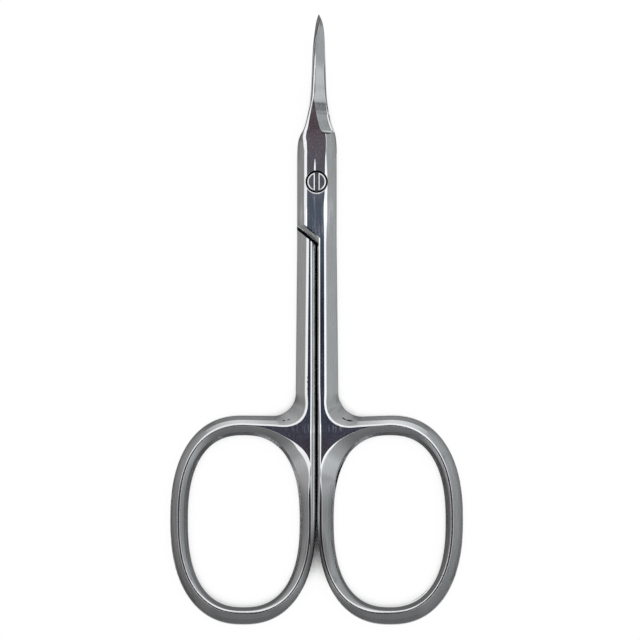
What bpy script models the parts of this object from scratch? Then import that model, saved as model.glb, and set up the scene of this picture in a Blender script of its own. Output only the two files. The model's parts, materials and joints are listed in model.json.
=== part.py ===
"""Fine-pointed nail scissors, closed and lying flat: two crossed halves and the slotted screw they turn on.

Metres. +Y runs from the finger loops to the tips and +Z away from the surface that the scissors lie on. The
origin lies on that surface, under the middle of the whole length and width. Each half is drawn in a frame of its
own, with the pivot at its origin, its mid plane at z = 0 and its own flat face up. The back half is then turned
over about +Y.
"""

import math
from typing import NamedTuple

import bmesh
import bpy
from mathutils import Vector
from mathutils.geometry import interpolate_bezier

# Reach from the pivot to each tip and to the middle of the loops, and how far to +X each tip lies
FRONT_TIP_REACH = 0.0240
FRONT_TIP_X = 0.00058
BACK_TIP_REACH = 0.0246
BACK_TIP_X = 0.00036
LOOP_REACH = 0.0500

# Finger loops: the hole, and the two facets that meet at the ridge of the bar round it. The facets are a little
# narrower at the four rounded corners, which keeps the ridge there.
HOLE_WIDTH = 0.0166
HOLE_LENGTH = 0.0252
HOLE_SQUARENESS = 2.45
LOOP_SQUARENESS = 2.35
HOLE_FACET_SIDE = 0.00138
HOLE_FACET_END = 0.00130
LOOP_FACET_SIDE = 0.00095
LOOP_FACET_END = 0.00140
CREST_WIDTH = 0.00014
CREST_RAISED = 0.0002
CORNER_LESS = 0.00006
LOOP_THICKNESS = 0.0031
LOOP_RIM = 0.0012

# Boss and shanks
THICKNESS = 0.0036
SHANK_WIDTH = 0.00277
SHANK_SPREAD = 0.0002
CLOSED_GAP = 0.0003
SHANK_FILLET = 0.0039
OUTER_FACET = 0.00165
INNER_FACET = 0.00055
FACET_SLOPE = math.radians(38)
EDGE_ROUND = 0.00046
BOSS_FACET = 0.00148

# Lap joint: each half keeps half of the thickness above its shoulder, a slanted step beside the other's shank
LAP_GAP = 0.0003
SHOULDER_REACH = 0.0065
SHOULDER_SLANT = 0.0026
SHOULDER_GAP = 0.0004
SHOULDER_BEVEL = 0.00060

# Blade, from the boss up: a rounded shoulder, a neck drawn in, an even stretch and a point. Each width and
# thickness is the one where its stretch ends, the thickness above the lap face.
BOSS_REACH = 0.0046
ROUND_LENGTH = 0.0032
NECK_LENGTH = 0.0052
POINT_LENGTH = 0.0042
ROUND_LEAN = math.radians(30)
NECK_LEAN = math.radians(16)
ROUND_WIDTH = 0.0042
NECK_WIDTH = 0.0021
EVEN_WIDTH = 0.00178
TIP_WIDTH = 0.00016
BLADE_SHIFT = 0.00025
NECK_THICKNESS = 0.00115
EVEN_THICKNESS = 0.00095
TIP_THICKNESS = 0.00035
SPINE_FACET = 0.00040
SPINE_ROUND = 0.00022
SPINE_DROP = 0.00050
TIP_FACET = 0.00005

# Ground face of the blade, from its step near the end of the boss to the cutting edge
GROUND_OVERLAP = 0.0005
GROUND_STEP = 0.0002
GROUND_SLOPE = math.radians(31)
CUTTING_EDGE = 0.00015

# Both blades curve up alike, with distance from the pivot, so that they pass each other at every angle
CURVE_DELAY = 0.0010
CURVE_RADIUS = 0.075
CURVE_STRIP = 0.0012

# Screw
HEAD_DIAMETER = 0.0029
HEAD_HEIGHT = 0.00055
HEAD_BEVEL = 0.00012
HEAD_SUNK = 0.00012
SLOT_WIDTH = 0.00065
SLOT_DEPTH = 0.00030
JOURNAL_DIAMETER = 0.0018
THREAD_DIAMETER = 0.0014
FIT_GAP = 0.0003
SCREW_END_SUNK = 0.00010

# Fineness of the solids
LOOP_STEPS = 40
ARC_STEPS = 6
BLADE_STEPS = 8
TAPER_STEPS = 3
ROUND_STEPS = 2
TURN_STEPS = 32
CUTTER_MARGIN = 0.002
WELD = 0.000002
SAME = 1e-9
SHARP_FROM = math.radians(22)

# Colours and roughness
HALF_STEEL = (0.62, 0.62, 0.61), 0.16
SCREW_STEEL = (0.56, 0.55, 0.54), 0.24

# Sizes that follow from those above
BODY_HALF = CLOSED_GAP / 2 + SHANK_WIDTH
BAR_SIDE = HOLE_FACET_SIDE + CREST_WIDTH + LOOP_FACET_SIDE
BAR_END = HOLE_FACET_END + CREST_WIDTH + LOOP_FACET_END
LOOP_X = CLOSED_GAP / 2 + BAR_SIDE + HOLE_WIDTH / 2
LOOP_END = LOOP_REACH + HOLE_LENGTH / 2 + BAR_END
LOOP_BAR_TOP = -LOOP_REACH + HOLE_LENGTH / 2 + BAR_END
SHOULDER_FOOT = SHOULDER_REACH + SHOULDER_SLANT
NECK_START = BOSS_REACH + ROUND_LENGTH
NECK_END = NECK_START + NECK_LENGTH
GROUND_START = NECK_START - GROUND_OVERLAP
CURVE_START = NECK_START + CURVE_DELAY
PIVOT = Vector((0, (LOOP_END - BACK_TIP_REACH) / 2, THICKNESS / 2))
LAP_FACE = LAP_GAP / 2
HEAD_TOP = THICKNESS / 2 - HEAD_SUNK
HEAD_SEAT = HEAD_TOP - HEAD_HEIGHT - FIT_GAP


class Blade(NamedTuple):
    """What differs between the halves, in the frame of the half."""

    reach: float
    shift: float
    tip_x: float
    up: int


class Edge(NamedTuple):
    """How one edge of a half is worked: facet and rounding, from the side wall in to the flat face."""

    width: float
    drop: float
    round: float
    top: float

    def towards(self, other, share):
        return Edge(*(a + (b - a) * share for a, b in zip(self, other)))

    def rows(self):
        """Distance in from the rim and height of each row of points, from the side wall to the flat."""
        slope = math.atan2(self.drop, self.width - self.round / 2)
        radius = self.round / math.sin(slope)
        rows = [(0.0, self.top - self.drop)]
        for step in range(ROUND_STEPS + 1):
            turn = slope * (1 - step / ROUND_STEPS)
            rows.append((self.width - radius * math.sin(turn), self.top - radius * (1 - math.cos(turn))))
        return rows


def faceted(width, top):
    """Edge whose facet has the slope of the boss and shanks."""
    drop = (width - EDGE_ROUND) * math.tan(FACET_SLOPE) + EDGE_ROUND * math.tan(FACET_SLOPE / 2)
    return Edge(width, drop, EDGE_ROUND, top)


def loop_edge(width):
    """Edge of the loop's bar, whose rim has the same height all round."""
    return Edge(width, (LOOP_THICKNESS - LOOP_RIM) / 2, CREST_WIDTH, LOOP_THICKNESS / 2)


def superellipse(half_width, half_length, squareness, angle):
    """Point of a rounded oval about its own centre, in the direction of angle."""
    across = abs(math.cos(angle) / half_width) ** squareness
    along = abs(math.sin(angle) / half_length) ** squareness
    reach = (across + along) ** (-1 / squareness)
    return Vector((reach * math.cos(angle), reach * math.sin(angle)))


def loop_oval(grown_side, grown_end, squareness, angle):
    """Point of an oval round the hole, larger than it by the two values on each side and at each end."""
    shape = superellipse(HOLE_WIDTH / 2 + grown_side, HOLE_LENGTH / 2 + grown_end, squareness, angle)
    return Vector((LOOP_X, -LOOP_REACH)) + shape


def hole_facet(angle):
    """Width of the facet on the hole's side, in this direction from the middle of the loop."""
    end_share = math.sin(angle) ** 2
    width = HOLE_FACET_SIDE + (HOLE_FACET_END - HOLE_FACET_SIDE) * end_share + CREST_RAISED * math.sin(angle)
    return width - CORNER_LESS * math.sin(2 * angle) ** 2


def outer_facet(angle):
    """Width of the facet on the outer side, in this direction from the middle of the loop."""
    end_share = math.sin(angle) ** 2
    width = LOOP_FACET_SIDE + (LOOP_FACET_END - LOOP_FACET_SIDE) * end_share - CREST_RAISED * math.sin(angle)
    return width - CORNER_LESS * math.sin(2 * angle) ** 2


def bezier(start, start_handle, end_handle, end):
    """Points of one smooth curve, both ends among them."""
    knots = [Vector((*point, 0)) for point in (start, start_handle, end_handle, end)]
    return [point.xy for point in interpolate_bezier(*knots, BLADE_STEPS + 1)]


class Rim:
    """Outline of a half, run round with the metal on the left, with the edge on each side of every point."""

    def __init__(self):
        self.points = []
        self.before = []
        self.after = []

    def stretch(self, points, start, end):
        """Adds a stretch on from the last point, its edge changing evenly from start to end."""
        if self.points:
            self.after[-1] = start
            points = [self.points[-1], *points]
        lengths = [0.0]
        for a, b in zip(points, points[1:]):
            lengths.append(lengths[-1] + (b - a).length)
        edges = [start.towards(end, length / lengths[-1]) for length in lengths]
        first = 1 if self.points else 0
        self.points += points[first:]
        self.before += edges[first:]
        self.after += edges[first:]

    def oval(self, points, angles, facet):
        """Adds part of a loop's oval, whose facet has another width in each direction."""
        edges = [loop_edge(facet(angle)) for angle in angles]
        self.stretch(points[:2], edges[0], edges[1])
        for i in range(2, len(points)):
            self.stretch([points[i]], edges[i - 1], edges[i])

    def close(self):
        """Drops the last point, which is the first one again."""
        self.before[0] = self.before.pop()
        self.after.pop()
        self.points.pop()

    def rings(self):
        """The rows of points of the upper side, each a closed ring, from the side wall in to the flat."""
        count = len(self.points)
        rings = [[] for _ in range(ROUND_STEPS + 2)]
        for i, point in enumerate(self.points):
            into = (point - self.points[i - 1]).normalized()
            onward = (self.points[(i + 1) % count] - point).normalized()
            normals = Vector((-into.y, into.x)), Vector((-onward.y, onward.x))
            rows = zip(rings, self.before[i].rows(), self.after[i].rows())
            for ring, (inset, height), (next_inset, next_height) in rows:
                spot = point + mitre(*normals, inset, next_inset)
                ring.append(Vector((*spot, min(height, next_height))))
        return rings


def mitre(normal, next_normal, inset, next_inset):
    """Step in from a corner to where the lines at the two insets cross."""
    cosine = normal.dot(next_normal)
    if abs(inset - next_inset) < SAME:
        return (normal + next_normal) * inset / (1 + cosine)
    ways = normal * (inset - next_inset * cosine) + next_normal * (next_inset - inset * cosine)
    return ways / (1 - cosine**2)


def blade_side(blade, side):
    """One side of the blade, boss to tip, in four stretches; side 1 is the cutting edge and -1 the spine."""
    boss = Vector((side * BODY_HALF, BOSS_REACH))
    neck = Vector((blade.shift + side * ROUND_WIDTH / 2, NECK_START))
    even = Vector((blade.shift + side * NECK_WIDTH / 2, NECK_END))
    point = Vector((blade.shift + side * EVEN_WIDTH / 2, blade.reach - POINT_LENGTH))
    tip = Vector((blade.tip_x + side * TIP_WIDTH / 2, blade.reach))

    def heading(lean, length):
        """Step up the blade that leans inwards."""
        return length * Vector((-side * math.sin(lean), math.cos(lean)))

    # Each curve leaves its ends along handles whose lengths are shares of the stretch
    round_off = boss + heading(0, 0.5 * ROUND_LENGTH), neck - heading(ROUND_LEAN, 0.3 * ROUND_LENGTH)
    draw_in = neck + heading(NECK_LEAN, 0.35 * NECK_LENGTH), even - heading(0, 0.45 * NECK_LENGTH)
    close_in = point + heading(0, 0.25 * POINT_LENGTH), point.lerp(tip, 0.75)
    if side > 0:
        close_in = close_in[0], tip + Vector((0.7 * (point.x - tip.x), -0.2 * POINT_LENGTH))
    taper = [even.lerp(point, step / TAPER_STEPS) for step in range(TAPER_STEPS + 1)]
    return bezier(boss, *round_off, neck), bezier(neck, *draw_in, even), taper, bezier(point, *close_in, tip)


def half_rim(blade):
    """Outline of one half: loop, fillet, outer side, cutting edge, spine, boss, shoulder and inner side."""
    shank = faceted(OUTER_FACET, THICKNESS / 2)
    inner = faceted(INNER_FACET, THICKNESS / 2)
    boss = faceted(BOSS_FACET, THICKNESS / 2)
    bevel = faceted(SHOULDER_BEVEL, THICKNESS / 2)
    neck_start = Edge(SPINE_FACET, 0.5 * SPINE_DROP, SPINE_ROUND, THICKNESS / 2)
    neck_end = Edge(SPINE_FACET, SPINE_DROP, SPINE_ROUND, LAP_FACE + NECK_THICKNESS)
    point = Edge(SPINE_FACET, SPINE_DROP, SPINE_ROUND, LAP_FACE + EVEN_THICKNESS)
    tip = Edge(TIP_FACET, TIP_FACET, TIP_FACET, LAP_FACE + TIP_THICKNESS)

    rim = Rim()
    angles = [math.pi + 2 * math.pi * step / LOOP_STEPS for step in range(3 * LOOP_STEPS // 4 + 1)]
    rim.oval([loop_oval(BAR_SIDE, BAR_END, LOOP_SQUARENESS, angle) for angle in angles], angles, outer_facet)
    innermost = rim.points[0]
    top_edge = loop_edge(outer_facet(math.pi / 2))
    centre = Vector((BODY_HALF + SHANK_SPREAD + SHANK_FILLET, LOOP_BAR_TOP + SHANK_FILLET))
    turns = [math.pi / 2 * step / ARC_STEPS for step in range(ARC_STEPS + 1)]
    fillet = [centre - SHANK_FILLET * Vector((math.sin(turn), math.cos(turn))) for turn in turns]
    rim.stretch([fillet[0]], top_edge, top_edge)
    rim.stretch(fillet[1:], top_edge, shank)

    shoulder, sweep, taper, end = blade_side(blade, 1)
    rim.stretch([shoulder[0]], shank, shank)
    rim.stretch(shoulder[1:], shank, shank)
    rim.stretch(sweep[1:], shank, neck_end)
    rim.stretch(taper[1:], neck_end, point)
    rim.stretch(end[1:], point, tip)

    shoulder, sweep, taper, end = (leg[::-1] for leg in blade_side(blade, -1))
    rim.stretch([end[0]], tip, tip)
    rim.stretch(end[1:], tip, point)
    rim.stretch(taper[1:], point, neck_end)
    rim.stretch(sweep[1:], neck_end, neck_start)
    rim.stretch(shoulder[1:], neck_start, boss)
    corner = Vector((-BODY_HALF, -SHOULDER_REACH))
    foot = Vector((CLOSED_GAP / 2, -SHOULDER_FOOT))
    slant = (foot - corner).normalized()
    past_facet = corner + slant * (BOSS_FACET + SHOULDER_BEVEL * slant.y) / slant.x
    rim.stretch([corner], boss, boss)
    rim.stretch([past_facet, foot], bevel, bevel)
    loop_top = Vector((CLOSED_GAP / 2, LOOP_BAR_TOP))
    rim.stretch([loop_top], inner, inner)
    rim.stretch([innermost], inner, loop_edge(outer_facet(math.pi)))
    rim.close()
    return rim


def hole_rim():
    """Outline of the finger hole, run round with the metal on the left."""
    rim = Rim()
    angles = [-2 * math.pi * step / LOOP_STEPS for step in range(LOOP_STEPS + 1)]
    rim.oval([loop_oval(0, 0, HOLE_SQUARENESS, angle) for angle in angles], angles, hole_facet)
    rim.close()
    return rim


def grow_wall(bm, rings):
    """Pulls a closed ring of edges from each ring of points to the next; gives its first and last edges."""
    place = bm.verts.layers.int["place"]
    ring = [bm.verts.new(point) for point in rings[0]]
    for number, vert in enumerate(ring):
        vert[place] = number
    edges = [bm.edges.new((ring[i - 1], ring[i])) for i in range(len(ring))]
    first = edges
    for points in rings[1:]:
        grown = bmesh.ops.extrude_edge_only(bm, edges=edges)["geom"]
        verts = {item for item in grown if isinstance(item, bmesh.types.BMVert)}
        edges = [item for item in grown if isinstance(item, bmesh.types.BMEdge)]
        edges = [edge for edge in edges if verts.issuperset(edge.verts)]
        for vert in verts:
            vert.co = points[vert[place]]
    return first, edges


def mirrored(rings):
    """The rings of the underside, from its flat out to the side wall."""
    return [[Vector((point.x, point.y, -point.z)) for point in ring] for ring in reversed(rings)]


def forged_half(rim):
    """Mesh of one half before the cuts, alike on both faces."""
    bm = bmesh.new()
    bm.verts.layers.int.new("place")
    flats = [], []
    for outline in (rim, hole_rim()):
        rings = outline.rings()
        for flat, edges in zip(flats, grow_wall(bm, mirrored(rings) + rings)):
            flat.extend(edges)
    for flat in flats:
        bmesh.ops.triangle_fill(bm, use_beauty=True, edges=flat, normal=(0, 0, 1))
    bmesh.ops.recalc_face_normals(bm, faces=bm.faces)
    return bm


def new_object(name, bm):
    mesh = bpy.data.meshes.new(name)
    bm.to_mesh(mesh)
    bm.free()
    obj = bpy.data.objects.new(name, mesh)
    bpy.context.scene.collection.objects.link(obj)
    return obj


def closed_loft(name, sections):
    """Solid through a row of like sections, such as a cutter."""
    bm = bmesh.new()
    bm.verts.layers.int.new("place")
    for edges in grow_wall(bm, sections):
        bmesh.ops.contextual_create(bm, geom=edges)
    bmesh.ops.recalc_face_normals(bm, faces=bm.faces)
    return new_object(name, bm)


def prism(name, outline, low, high):
    return closed_loft(name, [[Vector((*point, height)) for point in outline] for height in (low, high)])


def rod(name, diameter, low, high):
    turns = [2 * math.pi * step / TURN_STEPS for step in range(TURN_STEPS)]
    circle = [Vector((math.cos(turn), math.sin(turn))) * diameter / 2 for turn in turns]
    return prism(name, circle, low, high)


def lap_cutter(blade):
    """Takes away the half's own underside above its shoulder, where the other half lies."""
    slant = Vector((BODY_HALF + CLOSED_GAP / 2, SHOULDER_SLANT))
    clear = Vector((slant.y, -slant.x)).normalized() * SHOULDER_GAP
    low = Vector((-CLOSED_GAP / 2, -SHOULDER_FOOT)) + clear - slant
    high = Vector((BODY_HALF, -SHOULDER_REACH)) + clear + slant
    top = blade.reach + CUTTER_MARGIN
    outline = [low, high, Vector((high.x, top)), Vector((low.x, top))]
    return prism("lap", outline, -THICKNESS, LAP_FACE)


def ground_cutter(blade):
    """Grinds the cutting side of the blade to a slope that ends in a thin edge."""
    ceiling = THICKNESS
    edge_height = LAP_FACE + CUTTING_EDGE
    rise = (ceiling - edge_height) / math.tan(GROUND_SLOPE)
    fall = CUTTER_MARGIN * math.tan(GROUND_SLOPE)
    line = [point for leg in blade_side(blade, 1) for point in leg]
    edge = [point for point in line if point.y > GROUND_START]
    last = [point for point in line if point.y <= GROUND_START][-1]
    start = last.lerp(edge[0], (GROUND_START - last.y) / (edge[0].y - last.y))
    spots = [start]
    for spot in (*edge, Vector((edge[-1].x, blade.reach + CUTTER_MARGIN))):
        if spot.y - spots[-1].y > GROUND_STEP:
            spots.append(spot)
    sections = []
    for x, y in spots:
        outer = x + CUTTER_MARGIN
        section = [(outer, y, edge_height - fall), (outer, y, ceiling), (x - rise, y, ceiling)]
        sections.append([Vector(corner) for corner in section])
    return closed_loft("ground", sections)


def carve(obj, cutters):
    """Cuts each cutter out of the object for good."""
    for cutter in cutters:
        cut = obj.modifiers.new(cutter.name, "BOOLEAN")
        cut.operation = "DIFFERENCE"
        cut.solver = "EXACT"
        cut.object = cutter
    graph = bpy.context.evaluated_depsgraph_get()
    carved = bpy.data.meshes.new_from_object(obj.evaluated_get(graph))
    obj.modifiers.clear()
    obj.data = carved
    for cutter in cutters:
        bpy.data.objects.remove(cutter)


def curve_blade(mesh, blade):
    """Bends the blade up along an arc, after strips across it give it places to bend at."""
    bm = bmesh.new()
    bm.from_mesh(mesh)
    strips = math.ceil((blade.reach - CURVE_START) / CURVE_STRIP)
    for strip in range(strips):
        y = CURVE_START + (blade.reach - CURVE_START) * strip / strips
        everything = bm.verts[:] + bm.edges[:] + bm.faces[:]
        bmesh.ops.bisect_plane(bm, geom=everything, dist=WELD, plane_co=(0, y, 0), plane_no=(0, 1, 0))
    for vert in bm.verts:
        past = vert.co.xy.length - CURVE_START
        if vert.co.y > 0 < past:
            vert.co.z += blade.up * (CURVE_RADIUS - math.sqrt(CURVE_RADIUS**2 - past**2))
    bmesh.ops.remove_doubles(bm, verts=bm.verts, dist=WELD)
    bm.to_mesh(mesh)
    bm.free()


def finish(obj, colour, roughness):
    """Smooth shading between true edges, and a polished steel of the piece's own."""
    obj.data.shade_smooth()
    obj.data.set_sharp_from_angle(angle=SHARP_FROM)
    steel = bpy.data.materials.new(obj.name + "_steel")
    steel.use_nodes = True
    shader = steel.node_tree.nodes["Principled BSDF"]
    shader.inputs["Base Color"].default_value = (*colour, 1)
    shader.inputs["Metallic"].default_value = 1
    shader.inputs["Roughness"].default_value = roughness
    obj.data.materials.append(steel)


def make_half(name, blade, holes):
    """One half: forged form, lap joint, ground blade, its bores, and the curve of the blade."""
    half = new_object(name, forged_half(half_rim(blade)))
    bores = [rod("bore", diameter, low, high) for diameter, low, high in holes]
    carve(half, [lap_cutter(blade), ground_cutter(blade), *bores])
    curve_blade(half.data, blade)
    finish(half, *HALF_STEEL)
    return half


def make_screw():
    """Slotted screw: head in its counterbore, journal through the front half, thread in the back half."""
    head = HEAD_DIAMETER / 2
    seat = HEAD_TOP - HEAD_HEIGHT
    end = -THICKNESS / 2 + SCREW_END_SUNK
    profile = [
        (0, HEAD_TOP),
        (head - HEAD_BEVEL, HEAD_TOP),
        (head, HEAD_TOP - HEAD_BEVEL),
        (head, seat),
        (JOURNAL_DIAMETER / 2, seat),
        (JOURNAL_DIAMETER / 2, LAP_FACE),
        (THREAD_DIAMETER / 2, LAP_FACE),
        (THREAD_DIAMETER / 2, end),
        (0, end),
    ]
    bm = bmesh.new()
    line = [bm.verts.new((x, 0, z)) for x, z in profile]
    edges = [bm.edges.new(pair) for pair in zip(line, line[1:])]
    turned = dict(cent=(0, 0, 0), axis=(0, 0, 1), angle=2 * math.pi, steps=TURN_STEPS, use_merge=True)
    bmesh.ops.spin(bm, geom=line + edges, **turned)
    bmesh.ops.remove_doubles(bm, verts=bm.verts, dist=WELD)
    bmesh.ops.recalc_face_normals(bm, faces=bm.faces)
    screw = new_object("pivot_screw", bm)
    corners = (-1, -1), (1, -1), (1, 1), (-1, 1)
    slot = [Vector((x * SLOT_WIDTH / 2, y * HEAD_DIAMETER)) for x, y in corners]
    carve(screw, [prism("slot", slot, HEAD_TOP - SLOT_DEPTH, THICKNESS)])
    finish(screw, *SCREW_STEEL)
    return screw


for old in list(bpy.data.objects):
    bpy.data.objects.remove(old)

counterbore = (HEAD_DIAMETER + 2 * FIT_GAP, HEAD_SEAT, THICKNESS)
journal_bore = (JOURNAL_DIAMETER + 2 * FIT_GAP, -THICKNESS, THICKNESS)
thread_bore = (THREAD_DIAMETER + 2 * FIT_GAP, -THICKNESS, THICKNESS)
front_blade = Blade(FRONT_TIP_REACH, BLADE_SHIFT, FRONT_TIP_X, 1)
back_blade = Blade(BACK_TIP_REACH, -BLADE_SHIFT, -BACK_TIP_X, -1)
front = make_half("front_half", front_blade, [counterbore, journal_bore])
back = make_half("back_half", back_blade, [thread_bore])
back.rotation_euler.y = math.pi
pivot = bpy.data.objects.new("pivot", None)
pivot.location = PIVOT
bpy.context.scene.collection.objects.link(pivot)
for piece in (front, back, make_screw()):
    piece.parent = pivot
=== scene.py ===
# %% [markdown]
# # Fine-pointed nail scissors
#
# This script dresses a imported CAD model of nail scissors: two polished steel halves that cross at a slotted screw.
# The CAD model is the fixed frame. It says where the pivot is and how far the halves may turn. Every piece below is
# modelled finer than its CAD solid, rides on the same body, and takes that solid's place in the picture.
#
# The frame is in metres. +Y runs from the finger loops to the tips, and +Z points up from the surface that the
# scissors lie on.

# %% Load the frame
import json
import math
from collections import namedtuple
from typing import NamedTuple

import bmesh
import bpy
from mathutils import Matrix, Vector
from mathutils.geometry import interpolate_bezier


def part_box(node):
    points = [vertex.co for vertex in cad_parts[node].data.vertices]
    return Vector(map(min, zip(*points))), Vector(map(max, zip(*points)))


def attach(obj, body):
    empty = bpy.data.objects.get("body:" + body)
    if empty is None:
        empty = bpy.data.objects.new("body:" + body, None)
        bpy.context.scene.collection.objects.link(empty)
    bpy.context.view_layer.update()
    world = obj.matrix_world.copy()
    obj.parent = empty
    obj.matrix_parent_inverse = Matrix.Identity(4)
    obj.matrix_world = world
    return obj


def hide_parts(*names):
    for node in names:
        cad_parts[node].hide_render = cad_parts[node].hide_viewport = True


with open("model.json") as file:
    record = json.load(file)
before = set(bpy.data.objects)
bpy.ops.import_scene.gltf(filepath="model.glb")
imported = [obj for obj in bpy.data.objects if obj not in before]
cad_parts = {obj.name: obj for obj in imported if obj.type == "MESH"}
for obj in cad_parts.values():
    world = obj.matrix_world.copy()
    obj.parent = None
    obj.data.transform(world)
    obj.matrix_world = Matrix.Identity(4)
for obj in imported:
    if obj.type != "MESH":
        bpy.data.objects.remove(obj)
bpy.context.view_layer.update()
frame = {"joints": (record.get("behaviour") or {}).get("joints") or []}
hinge = frame["joints"][0]
PIVOT = Vector(hinge["pos_m"])

# %% [markdown]
# ## How a half is drawn
#
# Each half is forged as one bar, then ground. It is drawn here in millimetres in a frame of its own, with the pivot
# at the origin, its lap face at z = 0 and its finger loop on the side of +X. The back half is the same kind of
# shape turned over about +Y, so one set of functions draws both. Hand work leaves the two a little unlike each other,
# and what differs is gathered in one small table.

# %% Values of the two halves
MM = 0.001
# In millimetres and degrees, for the front half and for the back half.
HALF_VALUES = {
    "reach": (23.98, 24.62),
    "up": (1, -1),
    "side_top": (2.99, 2.92),
    "side_foot": (3.24, 3.14),
    "fillet": (3.42, 3.30),
    "fillet_dip": (0.13, 0.04),
    "shank_facet": (1.86, 1.74),
    "outer_glint": (0.28, 0.34),
    "inner_facet": (0.05, 0.44),
    "inner_glint": (0.16, 0.14),
    "web_facet": (0.18, 0.48),
    "web_glint": (0.26, 0.60),
    "foot_facet": (2.06, 1.74),
    "loop_slope": (36.9, 37.4),
    "ridge_x": (10.31, 10.69),
    "web_bulge": (1.28, 1.42),
    "web_before": (15, 14),
    "web_past": (18, 16),
}
Half = namedtuple("Half", HALF_VALUES)
FRONT, BACK = (Half(*values) for values in zip(*HALF_VALUES.values()))
print("front blade reaches", FRONT.reach, "mm and back blade", BACK.reach, "mm past the pivot")

# %% [markdown]
# ## Loops, bar and ridge
#
# A finger loop is a rounded oval, squarer than an ellipse, which is what a superellipse draws. Three of them give
# the loop: the hole, the outside, and the ridge between, where the facets ground from both sides meet. The bar could
# be a circle swept along a curve, but the real one has two flat facets and a narrow crest, wider at the loop's
# sides, so the ovals are drawn and the facets are stretched between them.

# %% Ovals of the loop


class Oval(NamedTuple):
    """Rounded oval, squarer than an ellipse where squareness is over 2."""

    centre: Vector
    half_width: float
    half_length: float
    squareness: float

    def shares(self, offset):
        return abs(offset.x / self.half_width), abs(offset.y / self.half_length)

    def at(self, angle):
        heading = Vector((math.cos(angle), math.sin(angle)))
        across, along = self.shares(heading)
        reach = (across**self.squareness + along**self.squareness) ** (-1 / self.squareness)
        return self.centre + heading * reach

    def holds(self, point):
        across, along = self.shares(point - self.centre)
        return across**self.squareness + along**self.squareness < 1

    def outward(self, point):
        offset = point - self.centre
        across, along = self.shares(offset)
        x = math.copysign(across ** (self.squareness - 1) / self.half_width, offset.x)
        y = math.copysign(along ** (self.squareness - 1) / self.half_length, offset.y)
        return Vector((x, y)).normalized()

    def distance(self, point, heading):
        """How far the oval's line lies from the point, in the direction of the heading."""
        near, far, inside = 0.0, 4.0, self.holds(point)
        for _ in range(24):
            middle = (near + far) / 2
            if self.holds(point + heading * middle) == inside:
                near = middle
            else:
                far = middle
        return near


HOLE = Oval(Vector((10.78, -50.08)), 8.25, 12.65, 2.45)
RIDGE_Y = -49.79
RIDGES = {half: Oval(Vector((half.ridge_x, RIDGE_Y)), 9.69, 13.87, 2.40) for half in (FRONT, BACK)}
OUTSIDE = Oval(Vector((10.90, -49.95)), 10.75, 15.50, 2.35)
CREST = 0.15
SIDE_CREST = 0.15
LOOP_BAR_TOP = OUTSIDE.centre.y + OUTSIDE.half_length
print("finger hole", 2 * HOLE.half_width, "x", 2 * HOLE.half_length, "mm")

# %% [markdown]
# ## How an edge is worked
#
# Polished steel shows its shape by what it mirrors, so the slope of every facet matters more than its size. An edge
# of these scissors goes, from the side wall in to the flat, over a narrow steep rim, a wide ground facet and a
# slim glint where the buffing wheel softened the ridge. A bevel modifier gives one slope and one width all along,
# but here both change along the outline. So an edge is written as three widths and their slopes, and it gives the
# rows of points that the mesh is pulled through.

# %% Edge of a half
RIM = 0.12
RIM_SLOPE = 43.0
GLINT_SLOPE = 15.0
SOFT = 0.035


def slope_rise(degrees):
    return math.tan(math.radians(degrees))


def blend(value, next_value, share):
    return value + (next_value - value) * share


class Edge(NamedTuple):
    """Widths in millimetres from the side wall in, then slopes of the facet's foot and head."""

    rim: float
    facet: float
    glint: float
    foot: float
    head: float
    glint_slope: float = GLINT_SLOPE

    def towards(self, other, share):
        return Edge(*(blend(*pair, share) for pair in zip(self, other)))

    @property
    def width(self):
        return self.rim + self.facet + self.glint

    def rows(self):
        """Distance in from the rim, and drop below the flat, of each row of points."""
        soft = min(SOFT, self.rim / 3.2, self.facet / 2.4, self.glint / 2.4)
        ridge = self.rim + self.facet
        stations = [
            (0.0, 82.0),
            (soft, 60.0),
            (2 * soft, RIM_SLOPE),
            (self.rim - soft, RIM_SLOPE),
            (self.rim + soft, self.foot),
            (self.rim + self.facet / 2, (self.foot + self.head) / 2),
            (ridge - soft, self.head),
            (ridge + soft, self.glint_slope),
            (self.width - soft, self.glint_slope),
            (self.width + soft, 0.0),
        ]
        rows = [(stations[-1][0], 0.0)]
        for (inset, slope), (next_inset, next_slope) in zip(stations[-2::-1], stations[::-1]):
            fall = (slope_rise(slope) + slope_rise(next_slope)) / 2
            rows.append((inset, rows[-1][1] + fall * (next_inset - inset)))
        return rows[::-1]


def ground(width, glint, slope, rim=RIM):
    """Edge with one flat facet."""
    return Edge(rim, width - rim - glint, glint, slope, slope)


print("a facet 1.74 mm wide drops", round(ground(1.74, 0.3, 36).rows()[0][1], 2), "mm")

# %% [markdown]
# ## The face between the edges
#
# The face of a half is level over the boss and shank, falls a little from the web to the far end of the loop, and
# thins towards the tip. One height for every place in the plan keeps it smooth, whichever edge it is reached from.

# %% Height of the face
THICKNESS = 3.6
FLAT = THICKNESS / 2
LAP = 0.03
LOOP_DROP = 0.25
WEB = Vector((2.5, -34.0))
WEB_LEVEL = 3.0
WEB_FALL = 14.0
BLADE_HEIGHTS = [(7.0, 1.80), (7.8, 1.79), (8.6, 1.775), (9.6, 1.755), (11.0, 1.72), (12.0, 1.65)]
BLADE_HEIGHTS += [(13.0, 1.52), (14.5, 1.30), (16.0, 1.16), (18.2, 1.06), (19.6, 1.16), (21.0, 1.10)]
BLADE_HEIGHTS += [(22.6, 0.80), (24.6, 0.22)]


def smooth(share):
    """Share from 0 to 1 that starts and ends softly."""
    share = min(1.0, max(0.0, share))
    return share * share * (3 - 2 * share)


def along(stops, place, blend=blend):
    """Value at a place between stops, each a place and a value."""
    for (start, value), (end, next_value) in zip(stops, stops[1:]):
        if place <= end:
            return blend(value, next_value, max(0.0, (place - start) / (end - start)))
    return stops[-1][1]


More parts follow.
